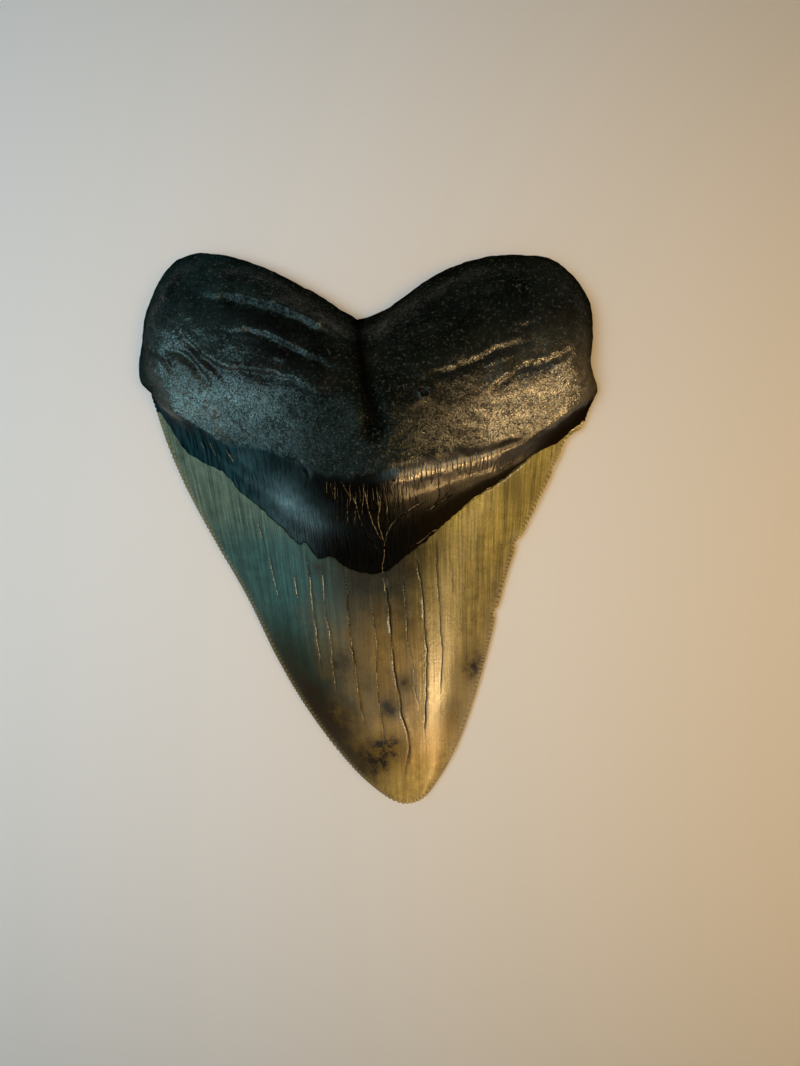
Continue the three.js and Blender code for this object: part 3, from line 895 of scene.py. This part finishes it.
def enameloid():
    material, tree, shader, growth, place = new_finish(
        "fossil_enameloid_natural_polish", ENAMELOID_REFRACTION
    )
    across = add(tree, "SeparateXYZ", {"Vector": growth}, out="X")
    up = add(tree, "SeparateXYZ", {"Vector": growth}, out="Y")
    along = add(tree, "VectorMath", {0: growth, 1: (1, LINE_STRETCH, 1)}, operation="MULTIPLY")
    clouds = add(tree, "TexNoise", {"Vector": place, "Scale": 1 / CLOUD, "Detail": 6, "Roughness": 0.6})
    mottle = add(tree, "TexNoise", {"Vector": place, "Scale": 1 / MOTTLE, "Detail": 5, "Roughness": 0.65})
    fine = add(tree, "TexNoise", {"Vector": place, "Scale": 1 / SPECK, "Detail": 2, "Roughness": 0.6})
    lines = add(
        tree, "TexNoise", {"Vector": along, "Scale": 1 / GROWTH_LINE, "Detail": 3, "Roughness": 0.6}
    )
    groups = add(
        tree, "TexNoise", {"Vector": along, "Scale": 1 / GROWTH_GROUP, "Detail": 2, "Roughness": 0.5}
    )

    # Olive and tan on the right, brown in the middle, blue grey on the left, with cloudy borders between.
    # The blue grey is a painted cool reflection; the right and middle brighten towards the tip partly as
    # painted light.
    cloudy = add(
        tree, "MapRange", {"Value": clouds, "From Min": 0.3, "From Max": 0.7, "To Min": -5, "To Max": 5}
    )
    near_tip = add(tree, "MapRange", {"Value": up, "From Min": -36, "From Max": -56, "To Max": -9})
    side = add(tree, "Math", {0: across, 1: cloudy}, operation="ADD")
    side = add(tree, "Math", {0: side, 1: near_tip}, operation="ADD")

    def down(tints):
        """One colour that turns into others on the way down: (start, end, hex) in millimetres up."""
        colour = linear(tints[0])
        for start, end, tint in tints[1:]:
            span = {"Value": up, "From Min": start, "From Max": end}
            here = add(tree, "MapRange", span, interpolation_type="SMOOTHSTEP")
            colour = add(tree, "Mix", {"Factor": here, "A": colour, "B": linear(tint)}, data_type="RGBA")
        return colour

    left = down(["#5E7464", (8, -6, "#355854"), (-16, -32, "#23301F"), (-36, -50, "#362C12")])
    middle = down(["#2A2714", (-12, -34, "#83641D"), (-42, -50, "#A58030"), (-54, -64, "#C4A458")])
    right = down(["#B29D50", (2, -16, "#A08C4E"), (-22, -36, "#BEA564"), (-50, -62, "#E6CA7C")])
    on_left = add(
        tree, "MapRange", {"Value": side, "From Min": -3, "From Max": -22}, interpolation_type="SMOOTHSTEP"
    )
    on_right = add(
        tree, "MapRange", {"Value": side, "From Min": 4, "From Max": 22}, interpolation_type="SMOOTHSTEP"
    )
    colour = add(tree, "Mix", {"Factor": on_right, "A": middle, "B": right}, data_type="RGBA")
    colour = add(tree, "Mix", {"Factor": on_left, "A": colour, "B": left}, data_type="RGBA")

    # Growth lines, strongest near the band, then mottling and specks
    streaks = add(
        tree, "MapRange", {"Value": lines, "From Min": 0.35, "From Max": 0.65, "To Min": 0.5, "To Max": 1.3}
    )
    streaked = add(tree, "MapRange", {"Value": up, "From Min": -45, "From Max": 0, "To Min": 0.3})
    grouped = add(
        tree, "MapRange", {"Value": groups, "From Min": 0.35, "From Max": 0.65, "To Min": 0.84, "To Max": 1.1}
    )
    shade = add(
        tree, "MapRange",
        {"Value": mottle, "From Min": 0.3, "From Max": 0.7, "To Min": 0.72, "To Max": 1.22},
    )
    specks = add(
        tree, "MapRange",
        {"Value": fine, "From Min": 0.35, "From Max": 0.65, "To Min": 0.86, "To Max": 1.12},
    )
    multiply = {"data_type": "RGBA", "blend_type": "MULTIPLY"}
    for pattern, amount in ((streaks, streaked), (grouped, 1.0), (shade, 1.0), (specks, 1.0)):
        colour = add(tree, "Mix", {"Factor": amount, "A": colour, "B": pattern}, **multiply)

    # Iron stains, the thin margin, the worn saw teeth and the dirt between them
    stain = add(tree, "Attribute", attribute_name="stain", out="Fac")
    patchy = add(tree, "MapRange", {"Value": mottle, "From Min": 0.36, "From Max": 0.62})
    patchy = add(tree, "Math", {0: patchy, 1: 1.2, 2: 0.4}, operation="MULTIPLY_ADD")
    stained = add(tree, "Math", {0: stain, 1: patchy}, operation="MULTIPLY", use_clamp=True)
    edge = add(tree, "Attribute", attribute_name="edge", out="Fac")
    margin = add(
        tree, "MapRange", {"Value": edge, "From Min": 1.4, "From Max": 0.1, "To Max": 0.3},
        interpolation_type="SMOOTHSTEP",
    )
    saw = add(tree, "Attribute", attribute_name="saw", out="Fac")
    worn_tips = add(tree, "MapRange", {"Value": saw, "From Max": 0.7, "To Max": 0.75})
    gullets = add(tree, "MapRange", {"Value": saw, "From Max": -0.6, "To Max": 0.7})
    tints = ((stained, "#2A1C0C"), (margin, "#8A7440"), (worn_tips, "#C9B47C"), (gullets, "#3B2F18"))
    for amount, tint in tints:
        colour = add(tree, "Mix", {"Factor": amount, "A": colour, "B": linear(tint)}, data_type="RGBA")

    # Cracks, dark with dirt or bleached pale in a broken line, with a painted highlight along one lip and
    # painted shade along the other
    dark = add(tree, "Attribute", attribute_name="crack_dirt_and_shade", out="Fac")
    colour = add(tree, "Mix", {"Factor": dark, "A": colour, "B": linear("#0D0A07")}, data_type="RGBA")
    pale = add(tree, "Attribute", attribute_name="crack_bleach_and_highlight", out="Fac")
    broken = add(
        tree, "MapRange", {"Value": fine, "From Min": 0.4, "From Max": 0.6, "To Min": 0.5, "To Max": 1.1}
    )
    pale = add(tree, "Math", {0: pale, 1: broken}, operation="MULTIPLY")
    bleach_and_highlight = add(tree, "MapRange", {"Value": pale, "From Min": 0.2, "From Max": 0.6})
    colour = add(tree, "Mix", {"Factor": bleach_and_highlight, "A": colour, "B": linear("#F2E6C0")}, data_type="RGBA")
    tree.links.new(colour, shader.inputs["Base Color"])

    # The polish is best on the right, cloudy everywhere and lost in the cracks
    dull = add(
        tree, "MapRange", {"Value": side, "From Min": 12, "From Max": -16, "To Min": -0.08, "To Max": 0.12}
    )
    rough_clouds = add(
        tree, "MapRange", {"Value": mottle, "From Min": 0.3, "From Max": 0.7, "To Min": 0.32, "To Max": 0.44}
    )
    rough_clouds = add(tree, "Math", {0: rough_clouds, 1: dull}, operation="ADD")
    cracked = add(
        tree, "Math", {0: dark, 1: 0.4, 2: rough_clouds}, operation="MULTIPLY_ADD", use_clamp=True
    )
    tree.links.new(cracked, shader.inputs["Roughness"])

    shine = add(tree, "Attribute", attribute_name="shine", out="Fac")
    tree.links.new(shine, shader.inputs["Specular IOR Level"])

    grain = add(tree, "TexNoise", {"Vector": place, "Scale": 1 / GRAIN, "Detail": 4, "Roughness": 0.6})
    height = add(tree, "Math", {0: lines, 1: 0.8, 2: grain}, operation="MULTIPLY_ADD")
    bump = add(tree, "Bump", {"Strength": 0.4, "Distance": ENAMELOID_BUMP, "Height": height})
    tree.links.new(bump, shader.inputs["Normal"])
    return material


mesh.materials.append(enameloid())
print("Enameloid:", len(mesh.materials[0].node_tree.nodes), "nodes")

# %% [markdown]
# ## Mineralised dentine
#
# The root and the band are dentine. In life it was porous like bone. Buried, its pores filled with dark
# phosphate, so it is now a near-black stone with the refractive index of apatite and a broken, sugary grain
# on the root: thousands of tiny mineral faces, each catching a light of its own. The band was never porous,
# so it has fine upright wrinkles in place of the grain. One finish covers both, because both are one stone
# that differs in texture only.
#
# The root's grain is about a quarter of a millimetre across. It is drawn at 0.42 mm, as coarse as it needs to
# be to show.

# %% Make the dentine
DENTINE_REFRACTION = 1.6
FACET = 0.42  # this and the next six are sizes in millimetres
FACET_WARP_SIZE = 0.9
FACET_WARP = 0.45
FLECK = 0.8
WRINKLE = 0.55
ROOT_CLOUD = 9
ROOT_MOTTLE = 1.8
FACET_TILT = 0.32  # each mineral face leans by up to half of this, as a slope
WRINKLE_STRETCH = 0.12  # wrinkles are some eight times longer than they are wide
DENTINE_BUMP = 0.1 * MM


def dentine():
    material, tree, shader, growth, place = new_finish("mineralised_dentine_weathered", DENTINE_REFRACTION)
    across = add(tree, "SeparateXYZ", {"Vector": growth}, out="X")
    rooted = add(tree, "Attribute", attribute_name="rooted", out="Fac")
    along = add(tree, "VectorMath", {0: growth, 1: (1, WRINKLE_STRETCH, 1)}, operation="MULTIPLY")
    clouds = add(
        tree, "TexNoise", {"Vector": place, "Scale": 1 / ROOT_CLOUD, "Detail": 6, "Roughness": 0.62}
    )
    mottle = add(
        tree, "TexNoise", {"Vector": place, "Scale": 1 / ROOT_MOTTLE, "Detail": 5, "Roughness": 0.65}
    )
    fleck = add(tree, "TexNoise", {"Vector": place, "Scale": 1 / FLECK, "Detail": 4, "Roughness": 0.75})
    wrinkles = add(tree, "TexNoise", {"Vector": along, "Scale": 1 / WRINKLE, "Detail": 3, "Roughness": 0.6})

    # The faces of the grain: cells whose straight borders a finer noise bends
    warp = add(tree, "TexNoise", {"Vector": place, "Scale": 1 / FACET_WARP_SIZE, "Detail": 3}, out="Color")
    bend = (FACET_WARP, FACET_WARP, FACET_WARP)
    warped = add(tree, "VectorMath", {0: warp, 1: bend, 2: place}, operation="MULTIPLY_ADD")
    cells = {"Vector": warped, "Scale": 1 / FACET, "Randomness": 1.0}
    grain = add(tree, "TexVoronoi", cells, out="Distance")
    lean = add(tree, "TexVoronoi", cells, out="Color")

    # Near black on the root, with pale mineral flecks that are partly painted glints, and teal towards the
    # left as a painted cool reflection
    cloudy = add(tree, "MapRange", {"Value": clouds, "From Min": 0.35, "From Max": 0.65})
    on_left = add(
        tree, "MapRange", {"Value": across, "From Min": -8, "From Max": -34}, interpolation_type="SMOOTHSTEP"
    )
    root = add(
        tree, "Mix", {"Factor": cloudy, "A": linear("#050906"), "B": linear("#10160F")}, data_type="RGBA"
    )
    cool_reflection = add(
        tree, "Mix", {"Factor": cloudy, "A": linear("#030F0F"), "B": linear("#0F2726")}, data_type="RGBA"
    )
    root = add(tree, "Mix", {"Factor": on_left, "A": root, "B": cool_reflection}, data_type="RGBA")
    dust_and_glints = add(tree, "MapRange", {"Value": fleck, "From Min": 0.56, "From Max": 0.76, "To Max": 0.5})
    root = add(tree, "Mix", {"Factor": dust_and_glints, "A": root, "B": linear("#7F8377")}, data_type="RGBA")

    # The band is black and wrinkled with brown. It is browner on the right, partly as a painted warm
    # reflection, and teal on the left as a painted cool reflection
    wrinkled = add(tree, "MapRange", {"Value": wrinkles, "From Min": 0.4, "From Max": 0.62})
    band = add(
        tree, "Mix", {"Factor": wrinkled, "A": linear("#030201"), "B": linear("#0C0904")}, data_type="RGBA"
    )
    on_right = add(
        tree, "MapRange", {"Value": across, "From Min": 2, "From Max": 26, "To Max": 0.5},
        interpolation_type="SMOOTHSTEP",
    )
    band = add(tree, "Mix", {"Factor": on_right, "A": band, "B": linear("#261B0B")}, data_type="RGBA")
    cool_reflection = add(
        tree, "Mix", {"Factor": wrinkled, "A": linear("#06161A"), "B": linear("#173A40")}, data_type="RGBA"
    )
    band = add(tree, "Mix", {"Factor": on_left, "A": band, "B": cool_reflection}, data_type="RGBA")
    colour = add(tree, "Mix", {"Factor": rooted, "A": band, "B": root}, data_type="RGBA")

    # Dust with a painted warm glow on the lower right, rust, dark dirt in the cracks with painted shade in
    # the step hollows, and bleached cracks with a painted highlight along one lip
    dust_and_warm_glow = add(tree, "Attribute", attribute_name="dust_and_warm_glow", out="Fac")
    dust_glow = add(tree, "MapRange", {"Value": mottle, "From Min": 0.35, "From Max": 0.65, "To Min": 0.35})
    dust_glow = add(tree, "Math", {0: dust_and_warm_glow, 1: dust_glow}, operation="MULTIPLY", use_clamp=True)
    rust = add(tree, "Attribute", attribute_name="rust", out="Fac")
    rusted = add(tree, "Math", {0: rust, 1: mottle}, operation="MULTIPLY", use_clamp=True)
    dark = add(tree, "Attribute", attribute_name="crack_dirt_and_shade", out="Fac")
    pale = add(tree, "Attribute", attribute_name="crack_bleach_and_highlight", out="Fac")
    broken = add(
        tree, "MapRange", {"Value": fleck, "From Min": 0.4, "From Max": 0.6, "To Min": 0.4, "To Max": 1.2}
    )
    pale = add(tree, "Math", {0: pale, 1: broken}, operation="MULTIPLY")
    bleach_and_highlight = add(tree, "MapRange", {"Value": pale, "From Min": 0.25, "From Max": 0.75, "To Max": 0.9})
    for amount, tint in ((dust_glow, "#6E6043"), (rusted, "#4A3018"), (dark, "#050403"), (bleach_and_highlight, "#C4AC7E")):
        colour = add(tree, "Mix", {"Factor": amount, "A": colour, "B": linear(tint)}, data_type="RGBA")
    tree.links.new(colour, shader.inputs["Base Color"])

    roughness = add(
        tree, "MapRange", {"Value": mottle, "From Min": 0.3, "From Max": 0.7, "To Min": 0.26, "To Max": 0.38}
    )
    dull = add(tree, "Attribute", attribute_name="dull", out="Fac")
    roughness = add(tree, "Math", {0: dull, 1: 0.45, 2: roughness}, operation="MULTIPLY_ADD")
    tree.links.new(roughness, shader.inputs["Roughness"])

    shine = add(tree, "Attribute", attribute_name="shine", out="Fac")
    patches = add(
        tree, "MapRange",
        {"Value": clouds, "From Min": 0.35, "From Max": 0.65, "To Min": 0.5, "To Max": 1.3},
    )
    shine = add(tree, "Math", {0: shine, 1: patches}, operation="MULTIPLY")
    tree.links.new(shine, shader.inputs["Specular IOR Level"])

    # Wrinkles on the band, grain on the root, and a lean of its own for each face of the grain
    sugar = add(tree, "Math", {0: grain, 1: 0.7, 2: mottle}, operation="MULTIPLY_ADD")
    wrinkling = add(tree, "Math", {0: wrinkles, 1: 1.5}, operation="MULTIPLY")
    height = add(tree, "Mix", {"Factor": rooted, "A": wrinkling, "B": sugar}, data_type="FLOAT")
    bump = add(tree, "Bump", {"Strength": 1.0, "Distance": DENTINE_BUMP, "Height": height})
    tilt = add(tree, "VectorMath", {0: lean, 1: (0.5, 0.5, 0.5)}, operation="SUBTRACT")
    amount = add(tree, "Math", {0: rooted, 1: FACET_TILT}, operation="MULTIPLY")
    tilt = add(tree, "VectorMath", {0: tilt, "Scale": amount}, operation="SCALE")
    facets = add(tree, "VectorMath", {0: bump, 1: tilt}, operation="ADD")
    facets = add(tree, "VectorMath", {0: facets}, operation="NORMALIZE")
    tree.links.new(facets, shader.inputs["Normal"])
    return material


mesh.materials.append(dentine())
print("Dentine:", len(mesh.materials[1].node_tree.nodes), "nodes")

# %% [markdown]
# ## Table, lights and camera
#
# The tooth lies on a plain pale sheet of paper. Two soft lamps overhead, a cool one on the left and a warm
# one on the right, light matt colour only, so the paper stays evenly lit. Three soft lamps stand lower, past
# the tip: a cool one, like a window, on the left and two warm ones on the right. They are seen in
# reflections only. Their gloss slides along the facing slopes and leaves the root's far side dark, which is
# what shows the relief. The camera looks straight down from 300 mm above the paper.

# %% Set the stage
CAMERA_HEIGHT = 0.3
CAMERA_PLACE = (7.7 * MM, -0.5 * MM)
HALF_VIEW = math.radians(24.8)  # half of the view's long side
SENSOR = 36  # its long side, in millimetres
TABLE_SIZE = 3
ROOM_LIGHT = 0.19
LAMPS = [  # name, place, aim, size, watts, colour, spread in degrees, seen in reflections only
    ("cool_ceiling", (-0.2, -0.02, 0.6), (-0.12, 0.02, 0), (0.3, 0.3), 0.27, "#DFF1FF", 52, False),
    ("warm_ceiling", (0.2, -0.05, 0.6), (0.12, -0.02, 0), (0.3, 0.3), 0.21, "#FFC252", 52, False),
    ("cool_window", (-0.3, -0.18, 0.43), (-0.03, 0.01, 0), (0.45, 0.35), 0.26, "#B8F4FF", 50, True),
    ("warm_lamp", (0.35, -0.27, 0.43), (0.03, 0, 0), (0.3, 0.2), 0.28, "#FFD695", 50, True),
    (
        "warm_low_lamp", (0.36, -0.5, 0.21), (0.02, 0.015, 0.015), (0.2, 0.12), 0.09, "#FFCF88", 16,
        True,
    ),
]


def table():
    bpy.ops.mesh.primitive_plane_add(size=TABLE_SIZE)
    floor = bpy.context.object
    floor.name = "paper_table"
    paper = bpy.data.materials.new("uncoated_paper")
    paper.use_nodes = True
    shader = paper.node_tree.nodes["Principled BSDF"]
    shader.inputs["Base Color"].default_value = linear("#EEECE8")
    shader.inputs["Roughness"].default_value = 0.9
    shader.inputs["Specular IOR Level"].default_value = 0
    floor.data.materials.append(paper)
    return floor


def soft_light(name, place, aim, size, watts, colour, spread, reflected):
    """A rectangular lamp that is only seen in reflections, or one that only lights matt colour."""
    lamp = bpy.data.lights.new(name, "AREA")
    lamp.shape = "RECTANGLE"
    lamp.size, lamp.size_y = size
    lamp.energy = watts
    lamp.color = linear(colour)[:3]
    lamp.spread = math.radians(spread)
    light = bpy.data.objects.new(name, lamp)
    light.location = place
    light.rotation_euler = (Vector(aim) - Vector(place)).to_track_quat("-Z", "Y").to_euler()
    light.visible_diffuse = not reflected
    light.visible_glossy = reflected
    bpy.context.scene.collection.objects.link(light)


table()
for lamp in LAMPS:
    soft_light(*lamp)
world = bpy.data.worlds.new("room")
world.use_nodes = True
background = world.node_tree.nodes["Background"]
background.inputs["Color"].default_value = linear("#BCCDD2")
background.inputs["Strength"].default_value = ROOM_LIGHT
bpy.context.scene.world = world
bpy.context.scene.view_settings.view_transform = "Standard"

camera = bpy.data.objects.new("camera", bpy.data.cameras.new("camera"))
camera.data.sensor_width = SENSOR
camera.data.lens = SENSOR / 2 / math.tan(HALF_VIEW)
camera.data.clip_start = 0.01
camera.location = (*CAMERA_PLACE, CAMERA_HEIGHT)
bpy.context.scene.collection.objects.link(camera)
bpy.context.scene.camera = camera
print("Lens, in mm:", round(camera.data.lens, 2))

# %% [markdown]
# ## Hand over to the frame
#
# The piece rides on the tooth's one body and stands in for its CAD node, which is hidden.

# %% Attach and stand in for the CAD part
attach(fossil, "root")
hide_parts("megalodon_tooth")
